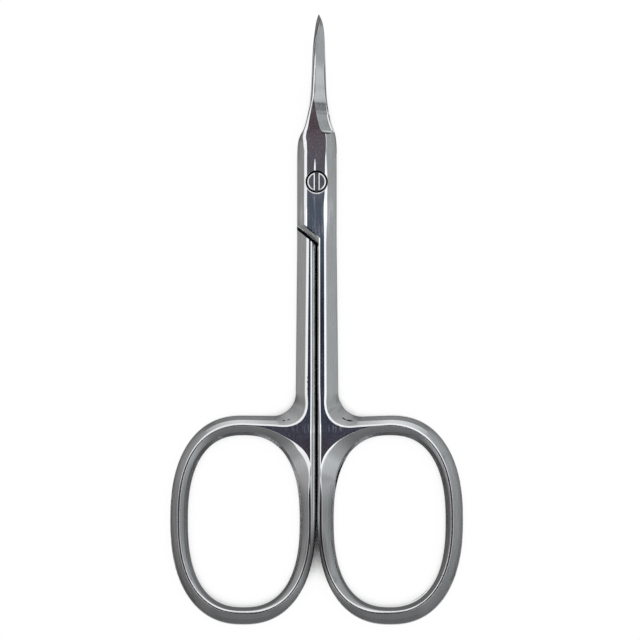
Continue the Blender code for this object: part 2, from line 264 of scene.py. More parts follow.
def face_height(spot):
    if spot.y > BLADE_HEIGHTS[0][0]:
        return along(BLADE_HEIGHTS, spot.y)
    past_web = Vector((max(0.0, spot.x - WEB.x), max(0.0, WEB.y - spot.y)))
    return FLAT - LOOP_DROP * smooth((past_web.length - WEB_LEVEL) / WEB_FALL)


print("face at boss", face_height(Vector((0, 0))), "and at loop", face_height(Vector((20.0, -55.0))))

# %% [markdown]
# ## Outline with its edges
#
# The outline of a half is a chain of stretches: an oval, a fillet, straight sides and Bezier curves for the blade.
# Its edge changes from point to point. At a true corner the rows meet on the line where the two facets cross, as the
# corner of a picture frame does.

# %% Outline class
SAME = 1e-6


def mitre(normal, next_normal, inset, next_inset):
    """Step in from a corner to where the lines at the two insets cross."""
    cosine = normal.dot(next_normal)
    if abs(inset - next_inset) < SAME:
        return (normal + next_normal) * inset / (1 + cosine)
    ways = normal * (inset - next_inset * cosine) + next_normal * (next_inset - inset * cosine)
    return ways / (1 - cosine**2)


class Outline:
    """Closed line with the metal on its left, and the edge before and after every point."""

    def __init__(self):
        self.points = []
        self.before = []
        self.after = []

    def stretch(self, points, start, end):
        """Adds a stretch on from the last point."""
        if self.points:
            self.after[-1] = start
            points = [self.points[-1], *points]
        lengths = [0.0]
        for a, b in zip(points, points[1:]):
            lengths.append(lengths[-1] + (b - a).length)
        edges = [start.towards(end, length / lengths[-1]) for length in lengths]
        first = 1 if self.points else 0
        self.points += points[first:]
        self.before += edges[first:]
        self.after += edges[first:]

    def straight(self, end, start_edge, end_edge):
        """Adds a straight stretch in steps of about a millimetre."""
        start = self.points[-1]
        steps = max(1, round((end - start).length))
        self.stretch([start.lerp(end, step / steps) for step in range(1, steps + 1)], start_edge, end_edge)

    def follow(self, points, edges):
        """Adds points with an edge each; the first may be the last one so far."""
        if self.points and (points[0] - self.points[-1]).length < SAME:
            points, edges = points[1:], [*edges[1:]]
        elif not self.points:
            self.stretch(points[:2], edges[0], edges[1])
            points, edges = points[2:], edges[2:]
        for point, edge in zip(points, edges):
            self.stretch([point], self.after[-1], edge)

    def close(self):
        """Drops the last point, which is the first one again."""
        self.before[0] = self.before.pop()
        self.after.pop()
        self.points.pop()

    def rings(self):
        """Rings of points of the upper side, from the side wall in to the flat."""
        count = len(self.points)
        rings = [[] for _ in self.before[0].rows()]
        for i, point in enumerate(self.points):
            into = (point - self.points[i - 1]).normalized()
            onward = (self.points[(i + 1) % count] - point).normalized()
            normals = Vector((-into.y, into.x)), Vector((-onward.y, onward.x))
            pairs = list(zip(self.before[i].rows(), self.after[i].rows()))
            (inset, _), (next_inset, _) = pairs[-1]
            top = face_height(point + mitre(*normals, inset, next_inset))
            for ring, ((inset, drop), (next_inset, next_drop)) in zip(rings, pairs):
                spot = point + mitre(*normals, inset, next_inset)
                ring.append(Vector((*spot, top - max(drop, next_drop))))
        return rings


def bezier(start, start_handle, end_handle, end, steps):
    knots = [Vector((*point, 0)) for point in (start, start_handle, end_handle, end)]
    return [point.xy for point in interpolate_bezier(*knots, steps + 1)]


print("a square corner is mitred by", mitre(Vector((1, 0)), Vector((0, 1)), 1, 1)[:])

# %% [markdown]
# ## Sides of the blade
#
# A blade grows out of the boss with a rounded shoulder, is drawn in to a slim neck, stays almost even and closes to
# its point. Two forged blades are never quite alike, so each side of each blade has its own few points. A curve
# through them is eased by averaging neighbours, so that no kink of the listed points shows in the reflections.

# %% Blade curves
CLOSED_GAP = 0.3
BODY_HALF = 2.92
EASED = 12
CURVE_STEPS = 4


def smooth_line(places):
    """Points of one smooth curve along the given places, its ends kept."""
    points = [Vector(place) for place in places]
    line = points[:1]
    for i, (point, next_point) in enumerate(zip(points, points[1:])):
        before = points[max(0, i - 1)]
        beyond = points[min(len(points) - 1, i + 2)]
        handles = point + (next_point - before) / 6, next_point - (beyond - point) / 6
        line += bezier(point, *handles, next_point, CURVE_STEPS)[1:]
    for _ in range(EASED):
        line[1:-1] = [(a + 2 * b + c) / 4 for a, b, c in zip(line, line[1:], line[2:])]
    return line


FRONT_CUTTING = [(2.99, 3.4), (2.98, 4.7), (2.95, 5.5), (2.90, 6.2), (2.82, 6.8), (2.70, 7.3)]
FRONT_CUTTING += [(2.55, 7.7), (2.30, 8.3), (2.12, 8.85), (1.98, 9.45), (1.86, 10.0), (1.73, 10.65)]
FRONT_CUTTING += [(1.60, 11.5), (1.49, 12.4), (1.41, 13.6), (1.36, 15.1), (1.32, 16.6), (1.27, 18.1)]
FRONT_CUTTING += [(1.24, 19.5), (1.22, 20.4), (1.18, 21.3), (1.11, 22.2), (1.03, 22.8), (0.90, 23.4)]
FRONT_CUTTING += [(0.70, 23.98)]
FRONT_SPINE = [(0.58, 23.98), (0.25, 22.65), (0.0, 21.7), (-0.37, 20.2), (-0.47, 19.2), (-0.59, 17.6)]
FRONT_SPINE += [(-0.70, 15.5), (-0.79, 13.6), (-0.85, 12.5), (-0.96, 11.6), (-1.16, 10.65), (-1.50, 9.3)]
FRONT_SPINE += [(-1.73, 8.4), (-1.93, 7.75), (-2.24, 7.3), (-2.52, 6.8), (-2.73, 6.2), (-2.85, 5.5)]
FRONT_SPINE += [(-2.90, 4.7), (-2.92, 3.6)]
BACK_CUTTING = [(2.92, 3.6), (2.90, 4.7), (2.85, 5.5), (2.73, 6.2), (2.52, 6.8), (2.24, 7.3)]
BACK_CUTTING += [(2.00, 7.7), (1.80, 8.2), (1.65, 8.85), (1.38, 10.0), (1.23, 10.65), (1.04, 11.5)]
BACK_CUTTING += [(0.92, 12.4), (0.84, 13.6), (0.76, 15.1), (0.70, 16.6), (0.64, 18.1), (0.57, 19.5)]
BACK_CUTTING += [(0.50, 20.4), (0.41, 21.3), (0.29, 22.2), (0.21, 22.8), (0.11, 23.4), (-0.01, 23.95)]
BACK_CUTTING += [(-0.25, 24.62)]
BACK_SPINE = [(-0.36, 24.62), (-0.56, 24.3), (-0.68, 23.9), (-0.78, 23.35), (-0.85, 22.75), (-0.93, 22.15)]
BACK_SPINE += [(-1.0, 21.3), (-1.05, 20.4), (-1.1, 19.4), (-1.15, 17.8), (-1.21, 15.2), (-1.29, 13.0)]
BACK_SPINE += [(-1.40, 11.5), (-1.60, 10.2), (-1.85, 9.0), (-2.1, 8.1), (-2.35, 7.5), (-2.6, 6.9)]
BACK_SPINE += [(-2.75, 6.3), (-2.84, 5.5), (-2.90, 4.7), (-2.92, 3.6)]
BLADE_SIDES = {
    FRONT: (smooth_line(FRONT_CUTTING), smooth_line(FRONT_SPINE)),
    BACK: (smooth_line(BACK_CUTTING), smooth_line(BACK_SPINE)),
}
print("a cutting side has", len(BLADE_SIDES[FRONT][0]), "points")

# %% [markdown]
# ## Outline of one half
#
# The line starts at the innermost point of the loop, runs round its bottom and outer side, up the shank, round the
# blade and down the boss to the shoulder, where the other half's shank passes. Facets and glints are as wide as on
# the real pair: the facet inside the loop is widest at the web, between loop and shank, where a broad glint ends it.

# %% Edges at named places
BAR_FACET = 1.56
BAR_GLINT = 0.24
CORNER_FACET = 0.84
INNER_RIM = 0.52
INNER_SLOPE = 39.6
WEB_ANGLE = 130
WEB_GLINT_ANGLE = 125
WEB_GLINT_BEFORE = 5
WEB_GLINT_PAST = 16
WEB_EASING = 8
SHOULDER_REACH = 6.5
SHOULDER_FOOT = 9.1
SLIT_END = -30.0
WEB_END = -37.5
LOOP_STEPS = 160
FILLET_STEPS = 24


def swell(place, peak, before, past):
    """Rises to 1 at the peak and falls off on both sides, each with a reach of its own."""
    off = place - peak
    return math.exp(-((off / (past if off > 0 else before)) ** 2))


def bar_side(half, oval, angle, side):
    """Way that a side of the loop's bar faces, how much towards an end, its width and its glint."""
    point = oval.at(angle)
    facing = oval.outward(point) * side
    ends = abs(facing.y) ** 1.5
    width = RIDGES[half].distance(point, -facing) - (CREST + SIDE_CREST * (1 - ends)) / 2
    return facing, ends, width, 0.02 + 0.18 * max(0.0, facing.y) ** 1.5


def outer_edge(half, angle):
    """Edge of the loop's outside at this angle."""
    facing, ends, width, glint = bar_side(half, OUTSIDE, angle, 1)
    rounding = abs(facing.y) ** (4 if facing.y < 0 else 1.8)
    slopes = half.loop_slope + 2.0 * ends, half.loop_slope - 16.0 * rounding
    return Edge(RIM, width - RIM - glint, glint, *slopes)


def hole_edge(half, angle):
    """Edge of the finger hole at this angle."""
    _, ends, width, glint = bar_side(half, HOLE, angle, -1)
    degrees = math.degrees(angle) % 360
    web = swell(degrees, WEB_ANGLE, half.web_before, half.web_past)
    width += half.web_bulge * web
    glint += half.web_glint * swell(degrees, WEB_GLINT_ANGLE, WEB_GLINT_BEFORE, WEB_GLINT_PAST)
    rim = INNER_RIM + 0.10 * math.cos(angle)
    foot = INNER_SLOPE + 0.9 * math.cos(angle) - 1.6 * ends - WEB_EASING * web
    return Edge(rim, width - rim - glint, glint, foot, foot - 0.4 - 13.6 * ends)


BOSS_LEFT = ground(1.46, 0.38, 37)
BOSS_FACETS = [(-9.0, 1.86, 0.26), (-5.5, 1.90, 0.46), (-3.2, 1.90, 0.46), (-1.8, 1.78, 0.34)]
BOSS_FACETS += [(0.0, 1.70, 0.32), (1.8, 1.74, 0.28), (3.4, 1.70, 0.15)]
BOSS_RIGHT = [(y, ground(width, glint, 36.5)) for y, width, glint in BOSS_FACETS]
TIP = Edge(0.015, 0.015, 0.015, 38, 36)
CUTTING_WIDTHS = [(13.0, 0.17, 0.07, 0.19), (20.4, 0.17, 0.07, 0.19), (22.6, 0.11, 0.05, 0.10)]
CUTTING_EDGES = [(3.4, BOSS_RIGHT[-1][1]), (4.5, ground(1.62, 0.03, 36)), (7.8, ground(1.40, 0.05, 36))]
CUTTING_EDGES += [(y, Edge(*widths, 38, 36)) for y, *widths in CUTTING_WIDTHS]
CUTTING_EDGES += [(23.9, TIP)]
SPINE_WIDTHS = [(7.7, 0.11, 0.07, 0.36), (9.2, 0.11, 0.07, 0.22), (10.7, 0.11, 0.07, 0.14)]
SPINE_WIDTHS += [(11.6, 0.11, 0.07, 0.12), (12.6, 0.17, 0.07, 0.19), (20.4, 0.19, 0.07, 0.12)]
SPINE_WIDTHS += [(22.6, 0.20, 0.08, 0.10)]
SPINE_EDGES = [(4.6, BOSS_LEFT), (6.1, Edge(0.12, 0.66, 0.50, 37, 37)), (6.9, Edge(0.12, 0.34, 0.47, 37, 37))]
SPINE_EDGES += [(y, Edge(*widths, 38, 36)) for y, *widths in SPINE_WIDTHS]
SPINE_EDGES += [(23.9, TIP)]


def corner_edge(half, turn):
    """Edge round the fillet, from the top of the loop's bar to the shank, widest half way."""
    from_bar = smooth(math.degrees(turn) / 32)
    to_shank = smooth((math.degrees(turn) - 34) / 34)
    corner = CORNER_FACET * abs(math.sin(2 * turn)) ** 1.7
    width = BAR_FACET + (half.foot_facet - BAR_FACET) * math.sin(turn) ** 2 + corner
    glint = BAR_GLINT + (half.outer_glint - BAR_GLINT) * math.sin(turn) ** 2
    foot = 39.0 - 7.0 * from_bar + 4.2 * to_shank
    head = 26.0 + 2.0 * from_bar + 8.2 * to_shank
    return Edge(RIM, width - RIM - glint, glint, foot, head)


def half_outline(half):
    """Outline of one half with the metal on its left."""
    shank = ground(half.shank_facet, half.outer_glint, 36)
    boss_right = BOSS_RIGHT if half is FRONT else [(place, shank) for place, _ in BOSS_RIGHT]
    bevel = ground(0.80, 0.04, 36, rim=0.10)
    inner = ground(0.12 + half.inner_facet + half.inner_glint, half.inner_glint, 38)
    inner_web = ground(0.14 + half.web_facet + half.inner_glint, half.inner_glint, 38)

    line = Outline()
    angles = [math.pi + 2 * math.pi * step / LOOP_STEPS for step in range(3 * LOOP_STEPS // 4 + 1)]
    edges = [outer_edge(half, angle) for angle in angles]
    points = [OUTSIDE.at(angle) for angle in angles]
    line.follow(points, edges)

    centre = Vector((half.side_foot + half.fillet, LOOP_BAR_TOP + half.fillet - half.fillet_dip))
    turns = [math.pi / 2 * step / FILLET_STEPS for step in range(FILLET_STEPS + 1)]
    fillet = [centre - half.fillet * Vector((math.sin(turn), math.cos(turn))) for turn in turns]
    corner_edges = [corner_edge(half, turn) for turn in turns]
    line.straight(fillet[0], edges[-1], corner_edges[0])
    line.follow(fillet, corner_edges)

    cutting_side, spine = BLADE_SIDES[half]
    line.straight(Vector((half.side_top, boss_right[0][0])), corner_edges[-1], boss_right[0][1])
    for (_, edge), (place, next_edge) in zip(boss_right, boss_right[1:-1]):
        line.straight(Vector((half.side_top, place)), edge, next_edge)
    line.straight(cutting_side[0], boss_right[-2][1], boss_right[-1][1])
    line.follow(cutting_side, [along(CUTTING_EDGES, point.y, Edge.towards) for point in cutting_side])
    spine_edges = [along(SPINE_EDGES, point.y, Edge.towards) for point in spine]
    line.follow([cutting_side[-1], *spine], [TIP, *spine_edges])

    corner = Vector((-BODY_HALF, -SHOULDER_REACH))
    foot = Vector((CLOSED_GAP / 2, -SHOULDER_FOOT))
    slant = (foot - corner).normalized()
    past_facet = corner + slant * (BOSS_LEFT.width + bevel.width * slant.y) / slant.x
    line.straight(corner, BOSS_LEFT, BOSS_LEFT)
    line.stretch([past_facet], bevel, bevel)
    line.straight(foot, bevel, bevel)
    line.straight(Vector((CLOSED_GAP / 2, SLIT_END)), inner, inner)
    line.straight(Vector((CLOSED_GAP / 2, WEB_END)), inner, inner_web)
    line.straight(points[0], inner_web, edges[0])
    line.close()
    return line


def hole_outline(half):
    """Outline of the finger hole, run round with the metal on its left."""
    line = Outline()
    angles = [-2 * math.pi * step / LOOP_STEPS for step in range(LOOP_STEPS + 1)]
    edges = [hole_edge(half, angle) for angle in angles]
    line.follow([HOLE.at(angle) for angle in angles], edges)
    line.close()
    return line


print("outline of the front half has", len(half_outline(FRONT).points), "points")

# %% [markdown]
# ## Pulling the mesh through the rows
#
# The first ring of points is laid as vertices and joined by edges. Extrude Edges then pulls it from row to row, from
# the underside's flat out to the side wall and in again over the top, and Triangle Fill closes both flats. Lofting
# the rows this way keeps the mesh lines on the ridges, so they stay crisp in the reflections.

# %% Loft and fill


def grow_wall(bm, rings):
    """Pulls a ring of edges from each ring of points to the next; gives its first and last edges."""
    place = bm.verts.layers.int["place"]
    ring = [bm.verts.new(point) for point in rings[0]]
    for number, vert in enumerate(ring):
        vert[place] = number
    edges = [bm.edges.new((ring[i - 1], ring[i])) for i in range(len(ring))]
    first = edges
    for points in rings[1:]:
        grown = bmesh.ops.extrude_edge_only(bm, edges=edges)["geom"]
        verts = {item for item in grown if isinstance(item, bmesh.types.BMVert)}
        edges = [item for item in grown if isinstance(item, bmesh.types.BMEdge)]
        edges = [edge for edge in edges if verts.issuperset(edge.verts)]
        for vert in verts:
            vert.co = points[vert[place]]
    return first, edges


def new_bmesh():
    bm = bmesh.new()
    bm.verts.layers.int.new("place")
    return bm


def forged_half(half):
    """Mesh of one half before the cuts, alike on both faces."""
    bm = new_bmesh()
    flats = [], []
    for line in (half_outline(half), hole_outline(half)):
        rings = line.rings()
        under = [[Vector((point.x, point.y, -point.z)) for point in ring] for ring in reversed(rings)]
        for flat, edges in zip(flats, grow_wall(bm, under + rings)):
            flat.extend(edges)
    for flat in flats:
        bmesh.ops.triangle_fill(bm, use_beauty=True, edges=flat, normal=(0, 0, 1))
    bmesh.ops.recalc_face_normals(bm, faces=bm.faces)
    return bm


def new_object(name, bm):
    mesh = bpy.data.meshes.new(name)
    bm.to_mesh(mesh)
    bm.free()
    obj = bpy.data.objects.new(name, mesh)
    bpy.context.scene.collection.objects.link(obj)
    return obj


def closed_loft(name, sections):
    """Solid through a row of like sections, such as a cutter."""
    bm = new_bmesh()
    for edges in grow_wall(bm, sections):
        bmesh.ops.contextual_create(bm, geom=edges)
    bmesh.ops.recalc_face_normals(bm, faces=bm.faces)
    return new_object(name, bm)


print("a half is pulled through", 2 * len(ground(1, 0.1, 36).rows()), "rings")

# %% [markdown]
# ## Turned shapes
#
# The screw, its counterbore and its bores are all turned on a lathe or drilled, so each is a half profile spun once
# round the axis.

# %% Spin a profile
TURN_STEPS = 96


def turned(name, profile, off_y=0.0):
    """Solid of a profile of radius and height, spun round the pivot or an axis a little off it."""
    bm = bmesh.new()
    line = [bm.verts.new((radius, 0, height)) for radius, height in profile]
    edges = [bm.edges.new(pair) for pair in zip(line, line[1:])]
    round_once = dict(cent=(0, 0, 0), axis=(0, 0, 1), angle=2 * math.pi, steps=TURN_STEPS, use_merge=True)
    bmesh.ops.spin(bm, geom=line + edges, **round_once)
    bmesh.ops.remove_doubles(bm, verts=bm.verts, dist=1e-4)
    bmesh.ops.recalc_face_normals(bm, faces=bm.faces)
    bmesh.ops.translate(bm, verts=bm.verts, vec=(0, off_y, 0))
    return new_object(name, bm)


print("a turned piece has", TURN_STEPS, "steps round it")

# %% [markdown]
# ## Lap joint and ground blade
#
# Above its shoulder each half keeps only half of its thickness, so that the two lie flush. The blade is then ground
# on a wheel: a sloping face from the spine to the cutting edge, which runs out in a short curved wall near the boss.
# Both cuts are made by cutters and a Boolean: the first a plain slab with a slanted end, the second a wedge lofted
# along the cutting edge, lifted at its first sections by the round of the wheel. The face's slope changes along the
# blade, which gives it lighter and darker stretches.

# %% Cutters
SHOULDER_GAP = 0.4
MARGIN = 2.0
GROUND_START = 6.40
EDGE_THICKNESS = 0.12
SHAVE = 0.004
PLUNGE = [(0.0, 1.5, 1.43), (0.16, 3.0, 1.38), (0.31, 6.0, 1.30), (0.45, 11.0, 1.15), (0.57, 17.0, 0.91)]
PLUNGE += [(0.70, 23.5, 0.61), (0.85, 27.8, 0.34), (1.00, 29.8, 0.14), (1.16, 30.5, 0.03), (1.32, 30.6, 0.0)]
GROUND_SLOPES = [(7.7, 30.6), (10.0, 30.6), (10.5, 33.5), (11.6, 33.5), (12.3, 29.0), (16.4, 28.8)]
GROUND_SLOPES += [(18.0, 32.8), (24.6, 33.0)]
STOP_SPACING = 0.1
FACE_WIDTHS = [(7.7, 1.99), (8.6, 1.92), (12.2, 1.88), (13.4, 1.64), (16.8, 1.48), (17.4, 1.56), (18.2, 3.0)]
RIM_WIDTHS = [(6.7, 0.26), (9.5, 0.24), (11.0, 0.16), (13.0, 0.24), (16.6, 0.30), (18.4, 0.05), (24.6, 0.02)]
RIM_SLOPES = [(9.5, 44.0), (12.0, 39.0), (24.6, 39.0)]
LINE_WIDTHS = [(6.7, 0.15), (9.8, 0.13), (11.4, 0.02), (24.6, 0.01)]
LINE_SLOPE = 18.0


def lap_cutter(half):
    """Takes away the half's own underside above its shoulder, where the other half lies."""
    slant = Vector((BODY_HALF + CLOSED_GAP / 2, SHOULDER_FOOT - SHOULDER_REACH))
    clear = Vector((slant.y, -slant.x)).normalized() * SHOULDER_GAP
    low = Vector((-CLOSED_GAP / 2, -SHOULDER_FOOT)) + clear - slant
    high = Vector((BODY_HALF, -SHOULDER_REACH)) + clear + slant
    top = half.reach + MARGIN
    corners = low, high, Vector((high.x, top)), Vector((low.x, top))
    return closed_loft("lap", [[Vector((*corner, z)) for corner in corners] for z in (-THICKNESS, LAP)])


def face_foot(y):
    """Height of the cut's foot that gives the ground face its width, or else a thin edge."""
    rim, line = along(RIM_WIDTHS, y), along(LINE_WIDTHS, y)
    rise = rim * slope_rise(along(RIM_SLOPES, y)) + line * slope_rise(LINE_SLOPE)
    rise += (along(FACE_WIDTHS, y) - rim - line) * slope_rise(along(GROUND_SLOPES, y))
    return max(LAP + EDGE_THICKNESS, face_height(Vector((0, y))) - rise)


def ground_section(x, y, slope, base):
    """What the wheel takes away across the blade at one place: over its rim, light line and face."""
    rim, line = along(RIM_WIDTHS, y), along(LINE_WIDTHS, y)
    rim_rise = slope_rise(along(RIM_SLOPES, y))
    rim_top = base + rim * rim_rise
    line_top = rim_top + line * slope_rise(LINE_SLOPE)
    reach = (THICKNESS - line_top) / slope_rise(slope)
    corners = [
        (x + MARGIN, base - MARGIN * rim_rise),
        (x + MARGIN, THICKNESS),
        (x - rim - line - reach, THICKNESS),
        (x - rim - line, line_top),
        (x - rim, rim_top),
        (x, base),
    ]
    return [Vector((corner_x, y, corner_z)) for corner_x, corner_z in corners]


def ground_cutter(half):
    """Grinds the cutting side of the blade to a slope that ends in a thin edge."""
    line = [(point.y, point.x - SHAVE) for point in BLADE_SIDES[half][0]]
    foot = face_foot(GROUND_START + PLUNGE[-1][0])
    stops = [(GROUND_START + past, slope, foot + lift) for past, slope, lift in PLUNGE]
    for y, _ in line:
        if y > stops[-1][0] + STOP_SPACING:
            stops.append((y, along(GROUND_SLOPES, y), face_foot(y)))
    stops.append((half.reach + MARGIN, GROUND_SLOPES[-1][1], LAP + EDGE_THICKNESS))
    return closed_loft("ground", [ground_section(along(line, y), y, slope, base) for y, slope, base in stops])


print("the ground face starts", GROUND_START, "mm past the pivot")

# %% [markdown]
# ## Cutting, bending and placing
#
# The cuts are made for good, so that the piece ends as a plain mesh. Both blades bend up alike with distance from the
# pivot, which lets them pass each other at every angle. A flat face can't bend between its corners, so the blade is
# first sliced into strips. Then the mesh is turned, scaled to metres and moved to the pivot, while the object stays
# at the origin. Last, it is shaded smooth along the work, but crisp where two ground faces meet.

# %% Carve, bend and place
CURVE_START = 8.8
CURVE_RADIUS = 75.0
CURVE_STRIP = 0.5
SHARP_DEGREES = 11
STEP_DEGREES = 5.5
RIM_STEP_DEGREES = 1.5


def carve(obj, cutters):
    """Cuts each cutter out of the object for good."""
    for cutter in cutters:
        cut = obj.modifiers.new(cutter.name, "BOOLEAN")
        cut.operation = "DIFFERENCE"
        cut.solver = "EXACT"
        cut.object = cutter
    graph = bpy.context.evaluated_depsgraph_get()
    carved = bpy.data.meshes.new_from_object(obj.evaluated_get(graph))
    obj.modifiers.clear()
    obj.data = carved
    for cutter in cutters:
        bpy.data.objects.remove(cutter)


def bend_blade(obj, half):
    """Bends the blade up along an arc."""
    bm = bmesh.new()
    bm.from_mesh(obj.data)
    strips = math.ceil((half.reach - CURVE_START) / CURVE_STRIP)
    for strip in range(strips):
        y = CURVE_START + (half.reach - CURVE_START) * strip / strips
        everything = bm.verts[:] + bm.edges[:] + bm.faces[:]
        bmesh.ops.bisect_plane(bm, geom=everything, dist=1e-4, plane_co=(0, y, 0), plane_no=(0, 1, 0))
    for vert in bm.verts:
        past = vert.co.xy.length - CURVE_START
        if vert.co.y > 0 < past:
            vert.co.z += half.up * (CURVE_RADIUS - math.sqrt(CURVE_RADIUS**2 - past**2))
    bmesh.ops.remove_doubles(bm, verts=bm.verts, dist=1e-3)
    bm.to_mesh(obj.data)
    bm.free()


def place(obj, turned_over=False):
    """Turns the piece over if it is the back one, and puts it at the pivot in metres."""
    bm = bmesh.new()
    bm.from_mesh(obj.data)
    if turned_over:
        bmesh.ops.scale(bm, verts=bm.verts, vec=(-1, 1, -1))
    bmesh.ops.scale(bm, verts=bm.verts, vec=(MM, MM, MM))
    bmesh.ops.translate(bm, verts=bm.verts, vec=PIVOT)
    bm.to_mesh(obj.data)
    bm.free()


def shade(obj):
    """Smooth shading, but crisp beside each rim and between faces that differ in slope."""
    obj.data.shade_smooth()
    obj.data.set_sharp_from_angle(angle=math.radians(SHARP_DEGREES))
    slopes = [math.degrees(math.acos(max(-1.0, min(1.0, face.normal.z)))) for face in obj.data.polygons]
    sides = {}
    for face in obj.data.polygons:
        for key in face.edge_keys:
            sides.setdefault(key, []).append(slopes[face.index])
    for edge in obj.data.edges:
        beside = sides.get(edge.key, ())
        step = max(beside) - min(beside) if len(beside) == 2 else 0
        by_rim = step > RIM_STEP_DEGREES and max(beside) > RIM_SLOPE - 0.5
        if step > STEP_DEGREES or by_rim:
            edge.use_edge_sharp = True
    weighted = obj.modifiers.new("even faces", "WEIGHTED_NORMAL")
    weighted.mode = "FACE_AREA"
    weighted.weight = 100
    weighted.keep_sharp = True


print("the blades bend up from", CURVE_START, "mm past the pivot")

# %% [markdown]
# ## The two halves
#
# The front half has the counterbore for the screw's head and a plain bore for its journal. The back half has the
# thread's bore. The mouth of the counterbore is broken by a small bevel, which catches a thin line of light, and a
# short struck groove above it keeps the screw from turning out.

# %% Make the halves
HEAD_DIAMETER = 2.9
HEAD_TOP = 1.68
COUNTERBORE = 3.30
SEAT = 1.06
MOUTH_BEVEL = 0.08
MOUTH_OFFSET = -0.07
JOURNAL_BORE = 2.1
JOURNAL_BORE_TOP = 1.5
THREAD_BORE = 1.5
PUNCH_X = -0.26
PUNCH_SECTIONS = ((1.66, 0.13), (2.2, 0.12), (2.8, 0.08), (3.3, 0.02))


def bore(name, diameter, low, high):
    return turned(name, [(0, low), (diameter / 2, low), (diameter / 2, high), (0, high)])


def mouth():
    """Cone that breaks the counterbore's edge, off its axis, so that it shows most below the screw."""
    foot, radius = FLAT - 0.9 * MOUTH_BEVEL, COUNTERBORE / 2 - MOUTH_BEVEL
    rim = radius + 2 * MOUTH_BEVEL
    profile = [(0, foot), (radius, foot), (rim, FLAT), (rim, FLAT + 1), (0, FLAT + 1)]
    return turned("mouth", profile, MOUTH_OFFSET)


def punch_mark():
    """Short groove above the screw, narrower and shallower away from it."""
    sections = []
    for y, half_width in PUNCH_SECTIONS:
        left, right = PUNCH_X - half_width, PUNCH_X + half_width
        foot, above = FLAT - half_width * 0.36, FLAT + 1
        corners = (left, FLAT), (PUNCH_X, foot), (right, FLAT), (right, above), (left, above)
        sections.append([Vector((x, y, z)) for x, z in corners])
    return closed_loft("punch mark", sections)


def make_half(name, half, cutters):
    obj = new_object(name, forged_half(half))
    carve(obj, [lap_cutter(half), ground_cutter(half), *cutters])
    bend_blade(obj, half)
    place(obj, turned_over=half is BACK)
    shade(obj)
    print(name, len(obj.data.polygons), "faces")
    return obj


front_cuts = [bore("counterbore", COUNTERBORE, SEAT, THICKNESS), mouth(), punch_mark()]
front_cuts.append(bore("journal bore", JOURNAL_BORE, -THICKNESS, JOURNAL_BORE_TOP))
front_half = make_half("front_half_ground", FRONT, front_cuts)
back_half = make_half("back_half_ground", BACK, [bore("thread bore", THREAD_BORE, -THICKNESS, THICKNESS)])

# %% [markdown]
# ## The pivot screw
#
# The screw is turned, with a low head, a journal that the front half turns on and a thinner end in the back half.
# Its head has a soft bevel round its rim and one slot for a driver, sawn right across. The slot is a cutter with
# sloping lips, because sawing and use leave no sharp edge there.

# %% Make the screw
HEAD_BEVEL = 0.27
SLOT_WIDTH = 0.56
SLOT_DEPTH = 0.30
SLOT_LIP = 0.15
JOURNAL_RADIUS = 0.9
THREAD_RADIUS = 0.7


def make_screw():
    head = HEAD_DIAMETER / 2
    seat = SEAT + 0.02
    profile = [
        (0, HEAD_TOP),
        (head - HEAD_BEVEL - 0.05, HEAD_TOP),
        (head - HEAD_BEVEL, HEAD_TOP),
        (head - HEAD_BEVEL + 0.04, HEAD_TOP - 0.008),
        (head - 0.10, HEAD_TOP - 0.060),
        (head - 0.06, HEAD_TOP - 0.085),
        (head, HEAD_TOP - 0.16),
        (head, seat),
        (JOURNAL_RADIUS, seat),
        (JOURNAL_RADIUS, 0),
        (THREAD_RADIUS, 0),
        (THREAD_RADIUS, -FLAT + 0.16),
        (THREAD_RADIUS - 0.08, -FLAT + 0.10),
        (0, -FLAT + 0.10),
    ]
    screw = turned("pivot_screw_turned", profile)
    slot, lip_foot = SLOT_WIDTH / 2, HEAD_TOP - SLOT_LIP * 0.34
    lip = slot + SLOT_LIP
    left = [(-slot, HEAD_TOP - SLOT_DEPTH), (-slot, lip_foot), (-lip, HEAD_TOP), (-lip, HEAD_TOP + 1)]
    section = left + [(-x, z) for x, z in reversed(left)]
    ends = [[Vector((x, y, z)) for x, z in section] for y in (-HEAD_DIAMETER, HEAD_DIAMETER)]
    carve(screw, [closed_loft("slot", ends)])
    place(screw)
    shade(screw)
    print("screw", len(screw.data.polygons), "faces")
    return screw


pivot_screw = make_screw()

# %% [markdown]
# ## Tying the pieces to the frame
#
# Each piece rides on the body of the CAD node that it stands for, so it turns with it about the same pivot.

# %% Ride and replace
DRESSED = [
    (front_half, "front_half", "front_body", "front_steel"),
    (back_half, "back_half", "back_body", "back_steel"),
    (pivot_screw, "pivot_screw", "back_body", "screw_steel"),
]
for piece, node, body, material_slot in DRESSED:
    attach(piece, body)
    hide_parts(node)
    print(piece.name, "stands for", node, "at", [round(value, 5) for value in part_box(node)[0]])

# %% [markdown]
# ## Shader maths in plain expressions
#
# Node trees read badly as lists of links. A small class wraps a socket, so that sums and products of sockets can be
# written as Python expressions, and each operator adds its Math node. Any other node comes from one method.

# %% Wire and graph classes


def operator(operation, reflected=False):
    """Method that adds the Math node of one of Python's operators."""

    def add_node(wire, other):
        values = (other, wire) if reflected else (wire, other)
        return wire.graph.math(operation, *values)

    return add_node


class Wire:
    """Output socket that Python's operators work on."""

    def __init__(self, graph, socket):
        self.graph = graph
        self.socket = socket

    __add__, __radd__ = operator("ADD"), operator("ADD", reflected=True)
    __sub__, __rsub__ = operator("SUBTRACT"), operator("SUBTRACT", reflected=True)
    __mul__, __rmul__ = operator("MULTIPLY"), operator("MULTIPLY", reflected=True)
    __truediv__ = operator("DIVIDE")

    def clamped(self):
        return self.graph.math("MULTIPLY", self, 1.0, clamp=True)


